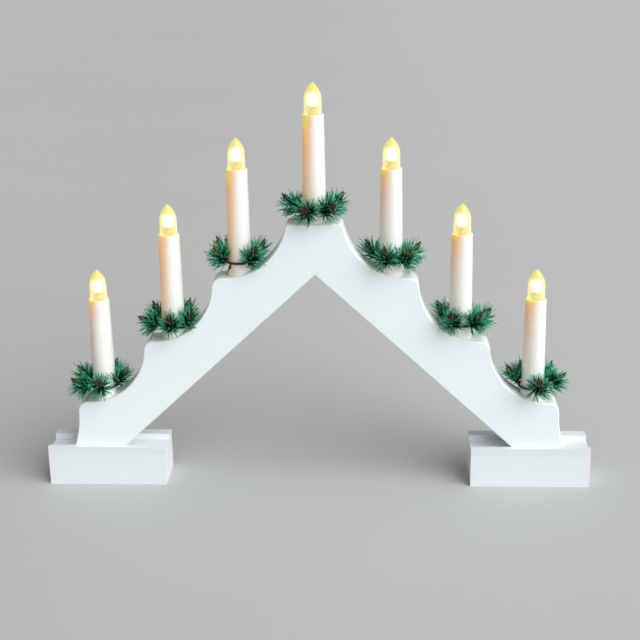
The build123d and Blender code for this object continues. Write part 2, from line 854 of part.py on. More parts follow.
with BuildPart() as wiring_centre:
    add(centre_wires())
save(wiring_centre.part, "wiring_centre")

save(battery_case(), "battery_case")
save(battery_lid(), "battery_lid")
save(switch_slider(), "switch_slider")

with BuildPart() as battery_cells:
    add([cell(-1), cell(1)])
save(battery_cells.part, "battery_cells")

with BuildPart() as battery_contacts:
    add([contact(side, at_end) for side in (-1, 1) for at_end in (False, True)])
save(battery_contacts.part, "battery_contacts")

with BuildPart() as case_screws:
    head_radius = case_screw_head_radius - screw_fit
    head_height = case_floor - screw_fit
    screw = screw_solid(case_screw_radius, head_radius, head_height, case_screw_length)
    add([screw.moved(screw_plane.location) for screw_plane in case_screw_planes()])
save(case_screws.part, "case_screws")
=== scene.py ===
import json
from math import cos, exp, pi, radians, sin, sqrt
from random import Random

import bmesh
import bpy
from bpy.props import FloatProperty, FloatVectorProperty, IntProperty, PointerProperty
from bpy.types import Operator, Panel, PropertyGroup
from mathutils import Matrix, Vector
from mathutils.bvhtree import BVHTree


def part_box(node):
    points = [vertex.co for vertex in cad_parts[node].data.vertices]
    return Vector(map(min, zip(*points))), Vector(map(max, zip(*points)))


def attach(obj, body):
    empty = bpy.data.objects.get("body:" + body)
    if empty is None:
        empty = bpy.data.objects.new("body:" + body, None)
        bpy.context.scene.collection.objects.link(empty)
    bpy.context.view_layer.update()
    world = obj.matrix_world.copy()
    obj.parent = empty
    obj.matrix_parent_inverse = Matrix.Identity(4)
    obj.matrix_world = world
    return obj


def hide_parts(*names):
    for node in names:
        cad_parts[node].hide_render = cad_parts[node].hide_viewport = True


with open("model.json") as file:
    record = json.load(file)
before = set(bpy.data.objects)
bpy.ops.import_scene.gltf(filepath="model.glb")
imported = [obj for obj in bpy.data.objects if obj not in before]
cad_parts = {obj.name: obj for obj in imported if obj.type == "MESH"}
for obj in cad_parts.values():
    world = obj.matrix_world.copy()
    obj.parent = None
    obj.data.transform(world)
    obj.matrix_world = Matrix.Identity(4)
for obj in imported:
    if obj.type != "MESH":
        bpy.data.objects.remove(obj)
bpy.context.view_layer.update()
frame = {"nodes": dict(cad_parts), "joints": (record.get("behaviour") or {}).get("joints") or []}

bl_info = {
    "name": "Candle Arch",
    "version": (1, 0, 0),
    "blender": (4, 5, 0),
    "location": "View3D > Sidebar > Candle Arch",
    "description": "Dresses the packed candle arch with its finishes, lamps and wreaths",
    "category": "Object",
}

# Metres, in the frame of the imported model: X to the right, Y to the back, Z up.
MM = 0.001
CANDLES = range(1, 8)
GOLDEN_ANGLE = pi * (3 - sqrt(5))

# The sprigs of each wreath: compass angle from +X and height angle, in degrees
SPRIGS = {
    1: ((165, 44), (-155, 10), (-92, 34), (-8, 54), (75, 38)),
    2: ((145, 50), (-168, 20), (-90, 46), (-28, 54), (55, 55)),
    3: ((150, 52), (-150, 44), (-45, 48), (12, 56), (90, 45)),
    4: ((178, 38), (-108, 24), (-50, 32), (10, 44), (92, 34)),
    5: ((170, 56), (-105, 50), (-45, 42), (5, 44), (85, 42)),
    6: ((155, 56), (-115, 50), (-48, 38), (0, 36), (80, 42)),
    7: ((165, 52), (-80, 34), (-4, 30), (45, 40), (110, 42)),
}

# How high a wreath's ring lies over its tube's lower end, and where it lies lower
RING_LIFT = 14.5 * MM
LOWER_RING_LIFTS = {2: 13.0 * MM, 4: 12.8 * MM}

# A wreath's wire ends: compass angle and height angle in degrees, and length
WIRE_ENDS = ((-140, -62, 6.0 * MM), (-95, -40, 4.5 * MM))

# The compass angle at which they leave the ring: behind the candle, but in front of the third
WIRE_END_PLACE = 60
FRONT_WIRE_END_PLACES = {3: -122}

# How the cones stand: their girth as a share of the widest, and how far they turn up from their sprig
APEX_FRONT_CONES = (1.1, 0.0)
FRONT_CONES = (0.85, 1.0)
SIDE_CONES = (0.75, 0.35)

# The holder of a light source, in millimetres: (radius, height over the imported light's foot) and then
# (radius, depth under the light source)
HOLDER_FOOT = ((0, 0), (3.6, 0), (3.6, 2.0), (1.9, 3.4))
HOLDER_HEAD = (
    (1.9, 7.6), (3.4, 6.6), (3.2, 3.6), (1.8, 2.9), (1.8, 1.0), (4.2, 0.7), (4.2, 0.05), (0, 0.05),
)

# How far the edges of the battery case, its lid and its switch are rounded
SHELL_EDGE = 0.35 * MM
LID_EDGE = 0.15 * MM
KNOB_EDGE = 0.15 * MM

# The ways that the key light and the soft light from above come from, and their colour
KEY_WAY = (0.64, -0.52, 0.60)
TOP_WAY = (0.1, -0.35, 1.0)
DAYLIGHT = (0.955, 1.0, 1.0)

# How the camera is turned, in degrees: about Z, downwards and about its own axis
CAMERA_TURN = 2.715
CAMERA_TILT = 19.146
CAMERA_ROLL = -0.846

# How strongly each tube's painted glow shows under its lamp, and how far down it reaches
TUBE_PAINTED_GLOWS = {
    1: (0.95, 16 * MM),
    2: (0.92, 60 * MM),
    3: (0.95, 62 * MM),
    4: (1.0, 66 * MM),
    5: (0.95, 20 * MM),
    6: (0.95, 20 * MM),
    7: (0.95, 20 * MM),
}


class WoodLook(PropertyGroup):
    """The painted boards and feet."""

    paint: FloatVectorProperty(
        name="Paint", description="Colour of the paint", subtype="COLOR", default=(0.875, 0.925, 0.927)
    )
    paint_shade: FloatVectorProperty(
        name="Paint shade", description="Duller tone of the paint", subtype="COLOR",
        default=(0.80, 0.84, 0.84),
    )
    # The feet's paint and its duller tone are the boards' colours made darker: painted shade.
    foot_paint_in_painted_shade: FloatVectorProperty(
        name="Foot paint", description="Colour of the feet", subtype="COLOR", default=(0.81, 0.84, 0.855)
    )
    foot_dull_in_painted_shade: FloatVectorProperty(
        name="Foot shade", description="Duller tone of the feet", subtype="COLOR",
        default=(0.72, 0.745, 0.75),
    )
    stipple: FloatProperty(
        name="Stipple", description="Height of the roller's stipple", default=0.03 * MM, unit="LENGTH"
    )


class LampLook(PropertyGroup):
    """The electric candles."""

    sleeve: FloatVectorProperty(
        name="Sleeve", description="Colour of the candle tubes", subtype="COLOR",
        default=(0.90, 0.89, 0.85),
    )
    # The painted glow: warm colours for the lamp's light on the tubes, in their base colour and their
    # emission
    painted_glow: FloatVectorProperty(
        name="Glow", description="Colour of a tube just under its lamp", subtype="COLOR",
        default=(0.93, 0.70, 0.14),
    )
    far_painted_glow: FloatVectorProperty(
        name="Far glow", description="Colour of a lit tube lower down", subtype="COLOR",
        default=(0.95, 0.46, 0.15),
    )
    core: FloatVectorProperty(
        name="Core", description="Colour of the light source", subtype="COLOR", default=(1.0, 0.93, 0.70)
    )
    core_strength: FloatProperty(
        name="Core strength", description="Brightness of the light source", default=5.0
    )
    envelope: FloatVectorProperty(
        name="Envelope", description="Colour that the clear envelope takes on", subtype="COLOR",
        default=(0.75, 0.68, 0.18),
    )
    edge: FloatVectorProperty(
        name="Edge", description="Colour of the envelope near the tube's rim", subtype="COLOR",
        default=(0.85, 0.78, 0.36),
    )
    holder: FloatVectorProperty(
        name="Holder", description="Colour of the light source's holder", subtype="COLOR",
        default=(0.62, 0.54, 0.10),
    )


class WreathLook(PropertyGroup):
    """The fir wreaths and their cones."""

    needle_length: FloatProperty(
        name="Needle length", description="Length of a longest needle", default=15.5 * MM, unit="LENGTH"
    )
    needle_radius: FloatProperty(
        name="Needle radius", description="Radius of a needle at its root", default=0.41 * MM,
        unit="LENGTH",
    )
    needles: IntProperty(name="Needles", description="Needles in one sprig", default=125)
    deep: FloatVectorProperty(
        name="Deep green", description="Colour of the needles near the stem", subtype="COLOR",
        default=(0.002, 0.065, 0.032),
    )
    bright: FloatVectorProperty(
        name="Bright green", description="Colour of the needle tips", subtype="COLOR",
        default=(0.05, 0.50, 0.26),
    )
    cone_brown: FloatVectorProperty(
        name="Cone brown", description="Colour of the cones", subtype="COLOR",
        default=(0.045, 0.020, 0.010),
    )
    cone_length: FloatProperty(
        name="Cone length", description="Length of a cone", default=9.6 * MM, unit="LENGTH"
    )
    cone_radius: FloatProperty(
        name="Cone radius", description="Radius of a cone with its scales", default=3.9 * MM,
        unit="LENGTH",
    )


class StageLook(PropertyGroup):
    """The floor, the lights and the camera."""

    floor: FloatVectorProperty(
        name="Floor", description="Colour of the floor", subtype="COLOR", default=(0.530, 0.524, 0.527)
    )
    backdrop: FloatVectorProperty(
        name="Backdrop", description="Colour behind the floor", subtype="COLOR",
        default=(0.50, 0.497, 0.49),
    )
    sky_strength: FloatProperty(name="Sky strength", description="Light from all round", default=0.20)
    key_strength: FloatProperty(
        name="Key strength", description="Light from the window side", default=3.45
    )
    key_softness: FloatProperty(
        name="Key softness", description="Angle that the key light fills", default=radians(62),
        subtype="ANGLE",
    )
    top_strength: FloatProperty(name="Top strength", description="Soft light from above", default=0.30)
    top_softness: FloatProperty(
        name="Top softness", description="Angle that the light from above fills", default=radians(120),
        subtype="ANGLE",
    )
    camera_place: FloatVectorProperty(
        name="Camera place", description="Where the camera stands", default=(0.04487, -0.8865, 0.43296),
        subtype="TRANSLATION",
    )
    field_of_view: FloatProperty(
        name="Field of view", description="Angle across the picture", default=radians(27.64),
        subtype="ANGLE",
    )


class Signal:
    """An output of a node, with arithmetic that adds Math nodes."""

    def __init__(self, finish, socket):
        self.finish = finish
        self.socket = socket

    def maths(self, operation, first, second):
        return self.finish.node("ShaderNodeMath", {"operation": operation}, {0: first, 1: second})

    def __add__(self, other):
        return self.maths("ADD", self, other)

    def __radd__(self, other):
        return self.maths("ADD", other, self)

    def __sub__(self, other):
        return self.maths("SUBTRACT", self, other)

    def __rsub__(self, other):
        return self.maths("SUBTRACT", other, self)

    def __mul__(self, other):
        return self.maths("MULTIPLY", self, other)

    def __rmul__(self, other):
        return self.maths("MULTIPLY", other, self)

    def __pow__(self, other):
        return self.maths("POWER", self, other)


class Finish:
    """The nodes of one material or of the world."""

    def __init__(self, owner):
        owner.use_nodes = True
        self.tree = owner.node_tree
        self.tree.nodes.clear()

    def node(self, kind, settings, inputs, output=0):
        """Adds a node, makes its settings first, then fills or links its sockets."""
        made = self.tree.nodes.new(kind)
        for name, value in settings.items():
            setattr(made, name, value)
        for name, value in inputs.items():
            if isinstance(value, Signal):
                self.tree.links.new(value.socket, made.inputs[name])
            else:
                made.inputs[name].default_value = value
        return Signal(self, made.outputs[output]) if made.outputs else None

    def place(self):
        """Where a point lies on its object."""
        return self.node("ShaderNodeTexCoord", {}, {}, "Object")

    def noise(self, vector, scale, detail=2.0):
        """Even, cloudy variation between about 0 and 1."""
        inputs = {"Vector": vector, "Scale": scale, "Detail": detail}
        return self.node("ShaderNodeTexNoise", {}, inputs, "Fac")

    def between(self, value, low, high):
        """0 below low, 1 above high and a smooth step between; low may be the higher one."""
        return self.node(
            "ShaderNodeMapRange",
            {"interpolation_type": "SMOOTHSTEP"},
            {"Value": value, "From Min": low, "From Max": high},
        )

    def blend(self, factor, first, second):
        """A colour between two colours."""
        return self.node("ShaderNodeMix", {"data_type": "RGBA"}, {0: factor, 6: first, 7: second}, 2)

    def attribute(self, name):
        """A number that a piece's mesh carries at each of its points."""
        return self.node("ShaderNodeAttribute", {"attribute_name": name}, {}, "Fac")

    def outline(self):
        """0 where a surface faces the viewer and 1 at its outline."""
        return self.node("ShaderNodeLayerWeight", {}, {"Blend": 0.5}, "Facing")

    def limited(self, operation, first, second):
        """Arithmetic whose result is kept between 0 and 1."""
        settings = {"operation": operation, "use_clamp": True}
        return self.node("ShaderNodeMath", settings, {0: first, 1: second})

    def relief(self, height, distance):
        """A normal that follows a height between 0 and 1, times a distance in metres."""
        return self.node("ShaderNodeBump", {}, {"Height": height, "Distance": distance})

    def surface(self, **inputs):
        """A Principled shader; the sockets are named with underscores."""
        named = {name.replace("_", " "): value for name, value in inputs.items()}
        return self.node("ShaderNodeBsdfPrincipled", {}, named)

    def show(self, shader):
        """Uses a shader as the material's surface."""
        self.node("ShaderNodeOutputMaterial", {}, {"Surface": shader})


def solid(colour):
    """A colour of three numbers with its alpha."""
    return (*colour, 1.0)


def new_finish(name):
    """A new material and its nodes."""
    material = bpy.data.materials.new(name)
    return material, Finish(material)


def dress_node(name, material):
    """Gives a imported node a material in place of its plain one."""
    data = frame["nodes"][name].data
    data.materials.clear()
    data.materials.append(material)


def axis_x(node):
    """Where the upright axis of a turned node stands."""
    low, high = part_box(node)
    return (low.x + high.x) / 2


def new_piece(name, bm, material, body):
    """Makes a smooth piece of a bmesh, which it frees, and sets it riding on a body."""
    data = bpy.data.meshes.new(name)
    bm.to_mesh(data)
    bm.free()
    data.materials.append(material)
    data.polygons.foreach_set("use_smooth", [True] * len(data.polygons))
    piece = bpy.data.objects.new(name, data)
    bpy.context.scene.collection.objects.link(piece)
    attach(piece, body)
    return piece


def add_attribute(piece, name, value_at):
    """Gives each point of a piece's mesh a number that follows from its place."""
    attribute = piece.data.attributes.new(name, "FLOAT", "POINT")
    for entry, vertex in zip(attribute.data, piece.data.vertices):
        entry.value = value_at(vertex.co)


def turn_profile(bm, x, profile, steps):
    """Spins a profile of (radius, height) points round a candle's axis."""
    corners = [bm.verts.new((x + radius, 0, height)) for radius, height in profile]
    edges = [bm.edges.new(pair) for pair in zip(corners, corners[1:])]
    bmesh.ops.spin(
        bm, geom=corners + edges, cent=(x, 0, 0), axis=(0, 0, 1), dvec=(0, 0, 0),
        angle=2 * pi, steps=steps, use_merge=True, use_duplicate=False,
    )


def finish_turning(bm):
    """Closes the poles of what was spun and points the faces outwards."""
    bmesh.ops.remove_doubles(bm, verts=bm.verts, dist=0.001 * MM)
    bmesh.ops.recalc_face_normals(bm, faces=bm.faces)


def standing(root, way):
    """The matrix that stands a form made along +Z on a root, pointing along a way."""
    return Matrix.Translation(root) @ way.to_track_quat("Z", "Y").to_matrix().to_4x4()


def heading(azimuth, elevation):
    """The unit vector of a compass angle from +X and a height angle, in degrees."""
    level = cos(radians(elevation))
    return Vector((level * cos(radians(azimuth)), level * sin(radians(azimuth)), sin(radians(elevation))))


def softened_copy(node, name, material, body, width):
    """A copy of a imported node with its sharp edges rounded."""
    bm = bmesh.new()
    bm.from_mesh(frame["nodes"][node].data)
    bmesh.ops.remove_doubles(bm, verts=bm.verts, dist=0.002 * MM)
    bmesh.ops.dissolve_limit(bm, angle_limit=radians(1), verts=bm.verts, edges=bm.edges)
    creases = (edge for edge in bm.edges if len(edge.link_faces) == 2)
    sharp = [edge for edge in creases if edge.calc_face_angle() > radians(35)]
    bmesh.ops.bevel(
        bm, geom=sharp, offset=width, offset_type="OFFSET", affect="EDGES", segments=2,
        profile=0.5, material=-1, clamp_overlap=True,
    )
    piece = new_piece(name, bm, material, body)
    piece.data.set_sharp_from_angle(angle=radians(40))
    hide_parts(node)


def painted_wood(look, name, paint, paint_shade):
    """White paint with a roller's stipple, faint clouds, small knocks, duller faces that don't face front
    or back (partly rough paint, partly painted shade) and painted shade on faces tilted a little upwards.
    """
    cloud_scale, wave_scale, knock_scale, stipple_scale = 38, 120, 75, 1100
    material, finish = new_finish(name)
    place = finish.place()
    clouds = finish.noise(place, cloud_scale, 3)
    stipple = finish.noise(place, stipple_scale)
    waves = finish.noise(place, wave_scale)
    normal = finish.node("ShaderNodeTexCoord", {}, {}, "Normal")
    across = finish.node("ShaderNodeSeparateXYZ", {}, {"Vector": normal}, "Y")
    facing = finish.node("ShaderNodeMath", {"operation": "ABSOLUTE"}, {0: across})
    # Faces that don't face the front or the back turn duller in streaks: partly rough paint, partly
    # painted shade.
    edge = finish.between(facing, 0.6, 0.3)
    # Faces tilted a little upwards, such as the feet's top front band, get painted shade.
    tilt = finish.node("ShaderNodeSeparateXYZ", {}, {"Vector": normal}, "Z")
    bevel = finish.between(tilt, 0.05, 0.09) * finish.between(tilt, 0.3, 0.2)
    spots = finish.node("ShaderNodeTexVoronoi", {}, {"Vector": place, "Scale": knock_scale}, "Distance")
    knocks = finish.between(spots, 0.14, 0.04) * finish.between(clouds, 0.5, 0.62)
    dull_and_painted_shade = 0.25 * clouds + 0.35 * edge * waves + 0.5 * knocks + 0.8 * bevel
    height = 0.6 * stipple + 1.2 * waves * edge - 2.5 * knocks
    finish.show(finish.surface(
        Base_Color=finish.blend(dull_and_painted_shade, solid(paint), solid(paint_shade)),
        Roughness=0.42 + 0.12 * stipple + 0.1 * edge,
        Normal=finish.relief(height, look.stipple),
    ))
    return material


def bare_beech():
    """Beech with its short dark flecks, along the dowels."""
    pale, dark = (0.62, 0.40, 0.22), (0.42, 0.24, 0.12)
    material, finish = new_finish("bare_beech")
    along = finish.node("ShaderNodeMapping", {}, {"Vector": finish.place(), "Scale": (60, 700, 700)})
    grain = finish.noise(along, 1.0, 3)
    finish.show(finish.surface(
        Base_Color=finish.blend(grain, solid(pale), solid(dark)),
        Roughness=0.6 + 0.1 * grain,
        Normal=finish.relief(grain, 0.05 * MM),
    ))
    return material


def plastic(name, colour, shade, roughness, texture_scale=900, texture_height=0.012 * MM):
    """Moulded plastic with a fine spark texture and slight clouds in its tone."""
    cloud_scale = 60
    material, finish = new_finish(name)
    place = finish.place()
    fine = finish.noise(place, texture_scale)
    clouds = finish.noise(place, cloud_scale)
    finish.show(finish.surface(
        Base_Color=finish.blend(clouds, solid(colour), solid(shade)),
        Roughness=roughness + 0.1 * fine,
        Normal=finish.relief(fine, texture_height),
    ))
    return material


def metal(name, colour, roughness):
    """Plated metal with fine scratches and a little tarnish."""
    tarnish_colour, tarnish_scale, scratch_scale = (0.2, 0.17, 0.13), 260, 2200
    material, finish = new_finish(name)
    place = finish.place()
    tarnish = finish.noise(place, tarnish_scale, 3)
    scratches = finish.noise(place, scratch_scale)
    finish.show(finish.surface(
        Base_Color=finish.blend(0.35 * tarnish, solid(colour), solid(tarnish_colour)),
        Metallic=1.0,
        Roughness=roughness + 0.15 * tarnish,
        Normal=finish.relief(scratches, 0.01 * MM),
    ))
    return material


def cell_jacket(ends, way):
    """A plain blue jacket with bare steel towards the cells' ends."""
    blue, steel = (0.045, 0.11, 0.28), (0.70, 0.69, 0.66)
    low_cap, high_cap, brink = 2.0 * MM, 1.4 * MM, 0.2 * MM
    material, finish = new_finish("cell_jacket")
    place = finish.place()
    along = finish.node("ShaderNodeVectorMath", {"operation": "DOT_PRODUCT"}, {0: place, 1: way}, "Value")
    fine = finish.noise(place, 900)
    low, high = ends
    low_end = finish.between(along, low + low_cap + brink, low + low_cap)
    high_end = finish.between(along, high - high_cap - brink, high - high_cap)
    bare = low_end + high_end
    finish.show(finish.surface(
        Base_Color=finish.blend(bare, solid(blue), solid(steel)),
        Metallic=bare,
        Roughness=0.26 + 0.1 * fine,
        Normal=finish.relief(fine, 0.01 * MM),
    ))
    return material


def candle_plastic(look):
    """The tubes' warm white plastic, with a painted glow of the lamp's light near the lamp, in its base
    colour and its emission.
    """
    dull_sleeve, unlit = (0.84, 0.83, 0.80), (0, 0, 0)
    material, finish = new_finish("candle_plastic")
    place = finish.place()
    clouds = finish.noise(place, 90)
    fine = finish.noise(place, 700, 1)
    painted_glow = finish.attribute("painted_glow")
    painted_glow_colour = finish.blend(finish.between(painted_glow, 0.70, 0.94), solid(look.far_painted_glow), solid(look.painted_glow))
    plain = finish.blend(0.6 * clouds, solid(look.sleeve), solid(dull_sleeve))
    finish.show(finish.surface(
        # The glow is painted light: it warms the base colour and adds emission.
        Base_Color=finish.blend(painted_glow, plain, painted_glow_colour),
        Roughness=0.34 + 0.08 * fine,
        Emission_Color=finish.blend(painted_glow, solid(unlit), painted_glow_colour),
        Emission_Strength=0.34,
        Normal=finish.relief(fine, 0.02 * MM),
    ))
    return material


def clear_envelope(look):
    """Clear moulded plastic that turns yellow and dense towards its tip and its outline, with a painted
    glow of the lamp's light in its emission, white-hot in its middle.
    """
    smoke, tip_smoke = (0.45, 0.43, 0.34), (0.30, 0.27, 0.10)
    white_hot, clear_tint = (1.2, 1.15, 0.95), (1.0, 0.98, 0.9)
    material, finish = new_finish("lamp_glass")
    height = finish.attribute("height_share")
    outline = finish.outline()
    streaks = finish.noise(finish.place(), 420)
    rim = finish.between(outline, 0.35, 0.75) * finish.between(height, 0.44, 0.58)
    point = finish.between(height, 0.68, 0.84)
    tip = finish.node("ShaderNodeMath", {"operation": "MAXIMUM"}, {0: point, 1: 0.8 * rim})
    # The middle, at the light source's height, gets the white-hot painted glow.
    middle = finish.between(height, 0.46, 0.55) * finish.between(height, 0.84, 0.74)
    core = middle * finish.between(outline, 0.38, 0.05)
    dense = finish.limited("ADD", 0.18 + 0.62 * tip + 0.35 * core, 0.75 * outline ** 1.6 + 0.06 * streaks)
    tint = finish.blend(tip, solid(look.edge), solid(look.envelope))
    body = finish.surface(
        Base_Color=finish.blend(tip, solid(smoke), solid(tip_smoke)),
        Roughness=0.12 + 0.05 * streaks,
        Emission_Color=finish.blend(core, tint, solid(white_hot)),
        Emission_Strength=0.8,
    )
    clear = finish.node("ShaderNodeBsdfTransparent", {}, {"Color": solid(clear_tint)})
    finish.show(finish.node("ShaderNodeMixShader", {}, {0: dense, 1: clear, 2: body}))
    return material


def light_source(look):
    """The glowing core of a lamp, whitest in its middle."""
    white_hot, unlit = (1.0, 0.97, 0.84), (0.9, 0.88, 0.75)
    material, finish = new_finish("led_light")
    finish.show(finish.surface(
        Base_Color=solid(unlit),
        Roughness=0.3,
        Emission_Color=finish.blend(finish.outline(), solid(white_hot), solid(look.core)),
        Emission_Strength=look.core_strength,
    ))
    return material


def lit_holder(look):
    """The clear yellow block that holds the light source, with a painted glow of its light: emission in
    the block's own colour.
    """
    dull_holder = (0.50, 0.42, 0.10)
    material, finish = new_finish("led_holder")
    clouds = finish.noise(finish.place(), 300)
    colour = finish.blend(clouds, solid(look.holder), solid(dull_holder))
    finish.show(finish.surface(
        Base_Color=colour, Roughness=0.25 + 0.1 * clouds, Emission_Color=colour, Emission_Strength=0.34
    ))
    return material


def needle_plastic(look):
    """Soft green plastic, darker at the stem, lighter at the tips and a little other on each needle."""
    material, finish = new_finish("needle_plastic")
    fine = finish.noise(finish.place(), 1500, 1)
    along, tone = finish.attribute("along"), finish.attribute("tone")
    lit = finish.limited("MULTIPLY", along ** 1.7, 0.35 + 0.9 * tone)
    finish.show(finish.surface(
        Base_Color=finish.blend(lit, solid(look.deep), solid(look.bright)),
        Roughness=0.36 + 0.15 * fine,
    ))
    return material


def cone_scales(look):
    """Brown scales with ochre edges, and dark gaps: a painted shade between the scales, spread by fine
    noise.
    """
    ochre, gap = (0.36, 0.18, 0.05), (0.02, 0.01, 0.008)
    material, finish = new_finish("cone_brown")
    fine = finish.noise(finish.place(), 900)
    colour = finish.blend(finish.attribute("tone"), solid(look.cone_brown), solid(ochre))
    finish.show(finish.surface(
        # The near-black gap colour is painted shade, spread by fine noise.
        Base_Color=finish.blend(0.4 * fine, colour, solid(gap)),
        Roughness=0.55 + 0.2 * fine,
        Normal=finish.relief(fine, 0.08 * MM),
    ))
    return material


class ARCH_OT_stage(Operator):
    """Lay the floor, hang the lights and set up the camera"""

    bl_idname = "arch.stage"
    bl_label = "Stage"

    def execute(self, context):
        look = context.scene.arch_stage
        self.lay_floor(context, look)
        context.scene.world = self.sky(look)
        self.hang_light(context, "key", look.key_strength, look.key_softness, KEY_WAY)
        self.hang_light(context, "top", look.top_strength, look.top_softness, TOP_WAY)
        self.set_camera(context, look)
        context.scene.view_settings.view_transform = "Standard"
        return {"FINISHED"}

    def lay_floor(self, context, look):
        """A wide floor, a little lighter to the right, where the key light comes from: painted light."""
        reach, slope_reach = 9.0, 0.35
        painted_shade_share, painted_light_share = 0.93, 1.09
        bm = bmesh.new()
        bmesh.ops.create_grid(bm, x_segments=6, y_segments=6, size=reach)
        data = bpy.data.meshes.new("floor")
        bm.to_mesh(data)
        bm.free()
        floor = bpy.data.objects.new("floor", data)
        context.scene.collection.objects.link(floor)
        material, finish = new_finish("studio_floor")
        place = finish.place()
        clouds = finish.noise(place, 2.6)
        grain = finish.noise(place, 400)
        x = finish.node("ShaderNodeSeparateXYZ", {}, {"Vector": place}, "X")
        # The floor lightens towards +X, where the key light comes from: painted light.
        side = finish.between(x, -slope_reach, slope_reach)
        dark = solid(painted_shade_share * part for part in look.floor)
        light = solid(painted_light_share * part for part in look.floor)
        finish.show(finish.surface(
            Base_Color=finish.blend(0.5 * side + 0.25 * clouds, dark, light),
            Roughness=0.75,
            Normal=finish.relief(grain, 0.02 * MM),
        ))
        data.materials.append(material)

    def sky(self, look):
        """A warm, even light from all round, with the plain backdrop where it is seen."""
        warm_white = (1.0, 0.985, 0.96)
        world = bpy.data.worlds.new("studio")
        sky = Finish(world)
        even, plain = (
            sky.node("ShaderNodeBackground", {}, {"Color": solid(colour), "Strength": strength})
            for colour, strength in ((warm_white, look.sky_strength), (look.backdrop, 1.0))
        )
        camera_ray, glossy_ray, passing_ray = (
            sky.node("ShaderNodeLightPath", {}, {}, name)
            for name in ("Is Camera Ray", "Is Glossy Ray", "Is Transmission Ray")
        )
        seen = sky.limited("ADD", camera_ray + glossy_ray, passing_ray)
        both = sky.node("ShaderNodeMixShader", {}, {0: seen, 1: even, 2: plain})
        sky.node("ShaderNodeOutputWorld", {}, {"Surface": both})
        return world

    def hang_light(self, context, name, strength, softness, way):
        """A soft, far light that comes from a way."""
        light = bpy.data.lights.new(name, "SUN")
        light.energy = strength
        light.color = DAYLIGHT
        light.angle = softness
        lamp = bpy.data.objects.new(name, light)
        lamp.rotation_euler = Vector(way).to_track_quat("Z", "Y").to_euler()
        context.scene.collection.objects.link(lamp)

    def set_camera(self, context, look):
        """The camera of the reference photograph."""
        camera = bpy.data.cameras.new("camera")
        camera.lens_unit = "FOV"
        camera.angle = look.field_of_view
        camera.clip_start = 0.05
        camera.clip_end = 50
        stand = bpy.data.objects.new("camera", camera)
        turn = Matrix.Rotation(radians(CAMERA_TURN), 4, "Z")
        tilt = Matrix.Rotation(radians(90 - CAMERA_TILT), 4, "X")
        roll = Matrix.Rotation(radians(CAMERA_ROLL), 4, "Z")
        stand.matrix_world = Matrix.Translation(look.camera_place) @ turn @ tilt @ roll
        context.scene.collection.objects.link(stand)
        context.scene.camera = stand


class ARCH_OT_wood(Operator):
    """Paint the boards, the feet and the strips behind the boards"""

    bl_idname = "arch.wood"
    bl_label = "Wood"

    def execute(self, context):
        look = context.scene.arch_wood
        boards = painted_wood(look, "painted_wood", look.paint, look.paint_shade)
        for node in ("left_arm", "right_arm", "left_back_strip", "right_back_strip"):
            dress_node(node, boards)
        # The feet get the darker copy of the paint, a painted shade.
        feet = painted_wood(look, "feet_paint_in_painted_shade", look.foot_paint_in_painted_shade, look.foot_dull_in_painted_shade)
        for node in ("left_foot", "right_foot"):
            dress_node(node, feet)
        dress_node("apex_dowels", bare_beech())
        return {"FINISHED"}


class ARCH_OT_sleeves(Operator):
    """Turn the seven candle tubes with their rounded rims"""

    bl_idname = "arch.sleeves"
    bl_label = "Candle tubes"

    def execute(self, context):
        taper, turning_steps = 1.05 * MM, 48
        material = candle_plastic(context.scene.arch_lamps)
        for number in CANDLES:
            node = f"candle_sleeve_{number}"
            low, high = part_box(node)
            foot_radius = (high.x - low.x) / 2
            top_radius = foot_radius - taper
            profile = self.outline(foot_radius, top_radius, low.z, high.z)
            bm = bmesh.new()
            turn_profile(bm, axis_x(node), profile, turning_steps)
            finish_turning(bm)
            tube = new_piece(f"candle_tube_{number}", bm, material, "arch")
            self.paint_glow(tube, number, axis_x(node), top_radius, high.z)
            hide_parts(node)
        return {"FINISHED"}

    def outline(self, foot_radius, top_radius, foot, rim):
        """A tube's closed profile: up its tapered side, over its rounded rim and down its bore."""
        rows, rim_steps, wall, bore_row = 28, 8, 1.0 * MM, 12 * MM
        bore = top_radius - wall
        lip = wall / 2
        height = rim - lip - foot
        profile = []
        for row in range(rows + 1):
            share = row / rows
            profile.append((foot_radius + (top_radius - foot_radius) * share, foot + height * share))
        for step in range(1, rim_steps):
            angle = pi * step / rim_steps
            profile.append((top_radius - lip + lip * cos(angle), rim - lip + lip * sin(angle)))
        profile += [(bore, rim - lip), (bore, rim - bore_row), (bore, foot)]
        return profile + profile[:1]

    def paint_glow(self, tube, number, x, radius, rim):
        """Paints a glow on a tube, most at its rim and on its left, which the key light leaves in shade.
        """
        strength, reach = TUBE_PAINTED_GLOWS[number]
        faintest, level, slant = 0.05, 0.22, 1.5

        def painted_glow_at(place):
            """How strongly the glow is painted at a point."""
            lit = min(1.0, max(faintest, level + slant * (x - place.x) / radius))
            return strength * lit * exp((place.z - rim) / reach)

        add_attribute(tube, "painted_glow", painted_glow_at)


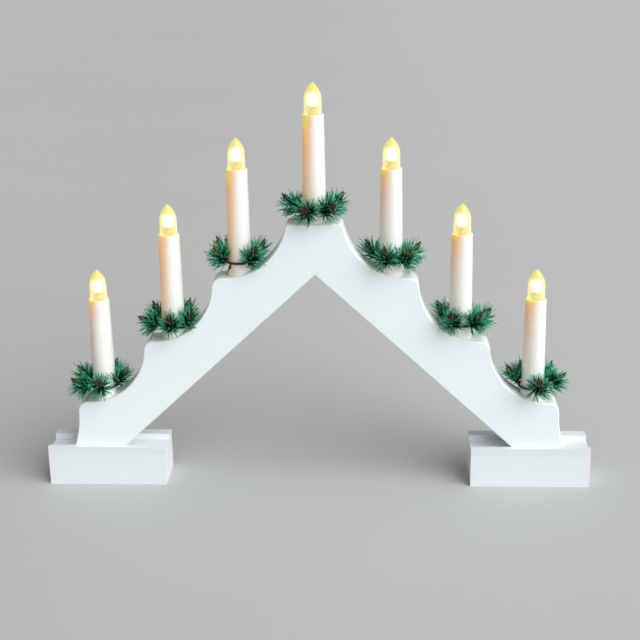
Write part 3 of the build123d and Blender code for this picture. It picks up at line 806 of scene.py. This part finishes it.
class ARCH_OT_lamps(Operator):
    """Make the clear envelopes and the light sources, and dress the caps and sockets"""

    bl_idname = "arch.lamps"
    bl_label = "Lamps"

    def execute(self, context):
        look = context.scene.arch_lamps
        clear = clear_envelope(look)
        core = light_source(look)
        cap = metal("cap_brass", (0.80, 0.72, 0.52), 0.25)
        holder = lit_holder(look)
        dress_node("lamp_sockets", plastic("socket_plastic", (0.80, 0.78, 0.72), (0.72, 0.70, 0.64), 0.4))
        for number in CANDLES:
            x = axis_x(f"lamp_glass_{number}")
            self.envelope(number, x, clear)
            base = self.light(number, x, core)
            self.holder(number, x, base, holder)
            dress_node(f"lamp_cap_{number}", cap)
        return {"FINISHED"}

    def envelope(self, number, x, material):
        """A clear envelope with a wall, straight at its mouth and pointed at its tip."""
        straight_share, wall, tip_wall_share, turning_steps = 0.59, 0.6 * MM, 1.6, 40
        node = f"lamp_glass_{number}"
        low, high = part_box(node)
        radius = (high.x - low.x) / 2
        shoulder = low.z + straight_share * (high.z - low.z)
        bm = bmesh.new()
        for inset in (0, wall):
            rise = high.z - shoulder - tip_wall_share * inset
            turn_profile(bm, x, self.outline(radius - inset, low.z, shoulder, rise), turning_steps)
        finish_turning(bm)
        rims = [edge for edge in bm.edges if edge.is_boundary]
        bmesh.ops.bridge_loops(bm, edges=rims)
        bmesh.ops.recalc_face_normals(bm, faces=bm.faces)
        envelope = new_piece(f"envelope_{number}", bm, material, f"lamp_{number}")
        add_attribute(envelope, "height_share", lambda place: (place.z - low.z) / (high.z - low.z))
        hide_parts(node)

    def outline(self, radius, foot, shoulder, rise):
        """An envelope's profile from its open end to its tip."""
        steps, swell, taper = 12, 2.3, 0.92
        points = [(radius, foot)]
        for step in range(steps + 1):
            share = step / steps
            points.append((radius * (1 - share ** swell) ** taper, shoulder + rise * share))
        return points

    def light(self, number, x, material):
        """A light source, straight below and domed above; tells where its lower end is."""
        width_share, drop, rise, straight_length = 0.42, 6.4 * MM, 1.9 * MM, 3.0 * MM
        dome_steps, turning_steps = 8, 28
        node = f"lamp_led_{number}"
        low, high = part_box(node)
        radius = width_share * (high.x - low.x)
        base = high.z - drop
        shoulder = base + straight_length
        dome = high.z + rise - shoulder
        profile = [(0, base), (radius, base), (radius, shoulder)]
        for step in range(1, dome_steps + 1):
            angle = radians(90 * step / dome_steps)
            profile.append((radius * cos(angle), shoulder + dome * sin(angle)))
        bm = bmesh.new()
        turn_profile(bm, x, profile, turning_steps)
        finish_turning(bm)
        source = new_piece(f"light_source_{number}", bm, material, f"lamp_{number}")
        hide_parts(node)
        return base

    def holder(self, number, x, base, material):
        """The clear block and the stem that hold a light source."""
        turning_steps = 28
        low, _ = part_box(f"lamp_led_{number}")
        profile = [(radius * MM, low.z + height * MM) for radius, height in HOLDER_FOOT]
        profile += [(radius * MM, base - depth * MM) for radius, depth in HOLDER_HEAD]
        bm = bmesh.new()
        turn_profile(bm, x, profile, turning_steps)
        finish_turning(bm)
        new_piece(f"light_holder_{number}", bm, material, f"lamp_{number}")


class ARCH_OT_wreaths(Operator):
    """Bind a wreath of fir sprigs with cones round each candle"""

    bl_idname = "arch.wreaths"
    bl_label = "Wreaths"

    def execute(self, context):
        look = context.scene.arch_wreaths
        root_radius, cone_seat = 10.2 * MM, 8.5 * MM
        green = needle_plastic(look)
        brown = cone_scales(look)
        wire = plastic("binding_wire", (0.012, 0.03, 0.02), (0.02, 0.045, 0.03), 0.45, 1400)
        boards = self.board_surfaces()
        form = self.needle_form(look)
        for number in CANDLES:
            draws = Random(100 + number)
            sleeve = f"candle_sleeve_{number}"
            lift = LOWER_RING_LIFTS.get(number, RING_LIFT)
            centre = Vector((axis_x(sleeve), 0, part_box(sleeve)[0].z + lift))
            self.bind_wire(number, centre, wire)
            needles, cones = bmesh.new(), bmesh.new()
            needles.verts.layers.float.new("along")
            needle_tone = needles.verts.layers.float.new("tone")
            cone_tone = cones.verts.layers.float.new("tone")
            for azimuth, elevation in SPRIGS[number]:
                way = heading(azimuth, elevation)
                root = centre + heading(azimuth, 0) * root_radius
                self.sprig(needles, needle_tone, form, root, way, draws, boards, look)
                girth, upturn = self.cone_stance(number, way)
                out = (way + Vector((0, 0, upturn))).normalized()
                self.cone(cones, cone_tone, root + way * cone_seat, out, draws, girth, look)
            greens = new_piece(f"wreath_{number}", needles, green, "arch")
            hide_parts(f"candle_wreath_{number}")
            browns = new_piece(f"cones_{number}", cones, brown, "arch")
            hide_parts("pine_cones")
        return {"FINISHED"}

    def board_surfaces(self):
        """The boards' surfaces, to keep the needles off them."""
        wood = bmesh.new()
        for node in ("left_arm", "right_arm"):
            wood.from_mesh(frame["nodes"][node].data)
        surfaces = BVHTree.FromBMesh(wood)
        wood.free()
        return surfaces

    def cone_stance(self, number, way):
        """A cone's girth and upturn, by where its sprig points."""
        front_limit = -0.2
        if way.y >= front_limit:
            return SIDE_CONES
        return APEX_FRONT_CONES if number == 4 else FRONT_CONES

    def bind_wire(self, number, centre, material):
        """A ring of two twisted wires that holds the sprigs, with its two ends."""
        points, twists = 96, 16
        ring_radius, twist_radius, wire_radius = 9.9 * MM, 0.55 * MM, 0.55 * MM
        bm = bmesh.new()
        for strand in (0, pi):
            curve = bpy.data.curves.new("strand", "CURVE")
            curve.dimensions = "3D"
            curve.bevel_depth = wire_radius
            curve.bevel_resolution = 1
            spline = curve.splines.new("POLY")
            spline.points.add(points - 1)
            spline.use_cyclic_u = True
            for index, point in enumerate(spline.points):
                angle = 2 * pi * index / points
                twist = twists * angle + strand
                reach = ring_radius + twist_radius * cos(twist)
                offset = Vector((reach * cos(angle), reach * sin(angle), twist_radius * sin(twist)))
                point.co = (*(centre + offset), 1)
            holder = bpy.data.objects.new("strand", curve)
            tube = bpy.data.meshes.new_from_object(holder)
            bm.from_mesh(tube)
            bpy.data.objects.remove(holder)
            bpy.data.curves.remove(curve)
            bpy.data.meshes.remove(tube)
        start = centre + heading(FRONT_WIRE_END_PLACES.get(number, WIRE_END_PLACE), 0) * ring_radius
        for azimuth, elevation, length in WIRE_ENDS:
            middle = Matrix.Translation((0, 0, length / 2))
            bmesh.ops.create_cone(
                bm, cap_ends=True, cap_tris=False, segments=8, radius1=wire_radius, radius2=wire_radius,
                depth=length, matrix=standing(start, heading(azimuth, elevation)) @ middle,
            )
        new_piece(f"wreath_wire_{number}", bm, material, "arch")

    def sprig(self, bm, tone, form, root, way, draws, boards, look):
        """One sprig: needles that fan out from a short stem."""
        stem, spread_limit, gap = 5.5 * MM, radians(78), 0.8 * MM
        side = way.orthogonal()
        for number in range(look.needles):
            share = (number + 0.5) / look.needles
            spread = spread_limit * sqrt(share) * draws.uniform(0.85, 1.08)
            turn = number * GOLDEN_ANGLE + draws.uniform(-0.25, 0.25)
            lean = Matrix.Rotation(turn, 3, way) @ (Matrix.Rotation(spread, 3, side) @ way)
            start = root + way * stem * draws.uniform(0.0, 1.0) * (1 - 0.4 * share)
            length = look.needle_length * draws.uniform(0.72, 1.0) * (1 - 0.22 * share)
            if not self.meets(boards, start, lean, length, gap):
                self.needle(bm, tone, form, start, lean, length, draws)

    def meets(self, boards, start, lean, length, gap):
        """Whether a needle would run into a board or come too near it."""
        up = Vector((0, 0, 1))
        for share in (0.15, 0.4, 0.7, 1.0):
            place = start + lean * length * share
            distance = boards.find_nearest(place)[3]
            normal = boards.ray_cast(place, up)[1]
            if distance < gap or (normal and normal.z > 0):
                return True
        return False

    def needle_form(self, look):
        """A three-sided needle of unit length along +Z, with a slight bow."""
        bow = 0.7 * MM
        bm = bmesh.new()
        along = bm.verts.layers.float.new("along")
        bmesh.ops.create_circle(bm, cap_ends=True, segments=3, radius=look.needle_radius)
        cap = list(bm.faces)
        for height, taper, shift in ((0.5, 0.9, bow), (1.0, 0.55, 0.0)):
            made = bmesh.ops.extrude_face_region(bm, geom=cap)["geom"]
            cap = [item for item in made if isinstance(item, bmesh.types.BMFace)]
            for vertex in (item for item in made if isinstance(item, bmesh.types.BMVert)):
                vertex.co.x = vertex.co.x * taper + shift
                vertex.co.y *= taper
                vertex.co.z = height
                vertex[along] = height
        for vertex in cap[0].verts:
            vertex.co.x -= 0.4 * bow
        bmesh.ops.recalc_face_normals(bm, faces=bm.faces)
        form = bpy.data.meshes.new("needle")
        bm.to_mesh(form)
        bm.free()
        return form

    def needle(self, bm, tone, form, start, lean, length, draws):
        """Adds one needle to a wreath."""
        count = len(bm.verts)
        bm.from_mesh(form)
        bm.verts.ensure_lookup_table()
        placed = bm.verts[count:]
        shade = draws.random()
        for vertex in placed:
            vertex[tone] = shade
        turn = Matrix.Rotation(draws.uniform(0, 2 * pi), 4, "Z") @ Matrix.Diagonal((1, 1, length, 1))
        bmesh.ops.transform(bm, matrix=standing(start, lean) @ turn, verts=placed)

    def cone(self, bm, tone, root, way, draws, girth, look):
        """A small cone: a turned core with rows of pointed scales."""
        length = look.cone_length * draws.uniform(0.9, 1.1)
        radius = look.cone_radius * girth
        light = draws.choice((0.0, 0.15, 0.5))
        placed = bmesh.ops.create_cone(
            bm, cap_ends=True, cap_tris=False, segments=8, radius1=0.55 * radius, radius2=0.16 * radius,
            depth=0.8 * length, matrix=Matrix.Translation((0, 0, 0.42 * length)),
        )["verts"]
        for vertex in placed:
            vertex[tone] = 0.0
        scales = 30
        for number in range(scales):
            share = (number + 0.5) / scales
            placed += self.scale(bm, tone, light, length, radius, number * GOLDEN_ANGLE, share)
        bmesh.ops.transform(bm, matrix=standing(root, way), verts=placed)

    def scale(self, bm, tone, light, length, radius, turn, share):
        """One scale of a cone that stands at the origin, flat and lighter at its edge."""
        edge_light, thickness = 0.3, 0.42
        height = length * (0.06 + 0.8 * share)
        girth = radius * (0.12 + 0.8 * sin(pi * min(1.0, 0.22 + 0.86 * share)))
        size = radius * (0.62 - 0.34 * share)
        seat = Vector((cos(turn), sin(turn), 0)) * girth * 0.55 + Vector((0, 0, height))
        lift = radians(38 + 40 * share)
        out = Vector((cos(turn) * cos(lift), sin(turn) * cos(lift), sin(lift)))
        flat = Matrix.Diagonal((thickness, 1.0, 1.0, 1.0)) @ Matrix.Translation((0, 0, 0.4 * size))
        made = bmesh.ops.create_cone(
            bm, cap_ends=True, cap_tris=False, segments=4, radius1=0.62 * size, radius2=0.16 * size,
            depth=size, matrix=standing(seat, out) @ flat,
        )["verts"]
        for vertex in made:
            vertex[tone] = light + (edge_light if (vertex.co - seat).length > 0.5 * size else 0.0)
        return made


class ARCH_OT_battery(Operator):
    """Dress the battery case, its lid, switch, cells and contacts"""

    bl_idname = "arch.battery"
    bl_label = "Battery case"

    def execute(self, context):
        case = plastic("case_plastic", (0.80, 0.81, 0.80), (0.74, 0.75, 0.74), 0.42, 1500, 0.03 * MM)
        softened_copy("battery_case", "case_shell", case, "arch", SHELL_EDGE)
        softened_copy("battery_lid", "case_lid", case, "lid", LID_EDGE)
        knob = plastic("switch_plastic", (0.02, 0.02, 0.022), (0.035, 0.035, 0.035), 0.4)
        softened_copy("switch_slider", "switch_knob", knob, "switch", KNOB_EDGE)
        cells = [vertex.co for vertex in frame["nodes"]["battery_cells"].data.vertices]
        slide = next(joint for joint in frame["joints"] if joint["name"] == "battery_lid_slide")
        way = Vector(slide["axis"])
        reaches = [place.dot(way) for place in cells]
        dress_node("battery_cells", cell_jacket((min(reaches), max(reaches)), way))
        dress_node("battery_contacts", metal("contact_steel", (0.72, 0.71, 0.68), 0.22))
        return {"FINISHED"}


class ARCH_OT_small_parts(Operator):
    """Dress the screws and the wires"""

    bl_idname = "arch.small_parts"
    bl_label = "Screws and wires"

    def execute(self, context):
        zinc = metal("zinc_screw", (0.66, 0.67, 0.66), 0.3)
        for node in ("foot_screws", "case_screws"):
            dress_node(node, zinc)
        insulation = plastic("wire_insulation", (0.78, 0.78, 0.76), (0.70, 0.70, 0.68), 0.4)
        for node in ("wiring_left", "wiring_centre", "wiring_right"):
            dress_node(node, insulation)
        return {"FINISHED"}


class ARCH_PT_panel(Panel):
    """The candle arch's pieces, in the order in which they are made"""

    bl_idname = "ARCH_PT_panel"
    bl_label = "Candle Arch"
    bl_space_type = "VIEW_3D"
    bl_region_type = "UI"
    bl_category = "Candle Arch"

    def draw(self, context):
        for operator in OPERATORS:
            self.layout.operator(operator.bl_idname)


LOOKS = {
    "arch_wood": WoodLook, "arch_lamps": LampLook, "arch_wreaths": WreathLook, "arch_stage": StageLook,
}
OPERATORS = (
    ARCH_OT_stage, ARCH_OT_wood, ARCH_OT_sleeves, ARCH_OT_lamps, ARCH_OT_wreaths, ARCH_OT_battery,
    ARCH_OT_small_parts,
)


def register():
    for cls in (*LOOKS.values(), *OPERATORS, ARCH_PT_panel):
        bpy.utils.register_class(cls)
    for name, group in LOOKS.items():
        setattr(bpy.types.Scene, name, PointerProperty(type=group))


def unregister():
    for name in LOOKS:
        delattr(bpy.types.Scene, name)
    for cls in reversed((*LOOKS.values(), *OPERATORS, ARCH_PT_panel)):
        bpy.utils.unregister_class(cls)


def main():
    register()
    for operator in OPERATORS:
        _, name = operator.bl_idname.split(".")
        getattr(bpy.ops.arch, name)()


if __name__ == "__main__":
    main()
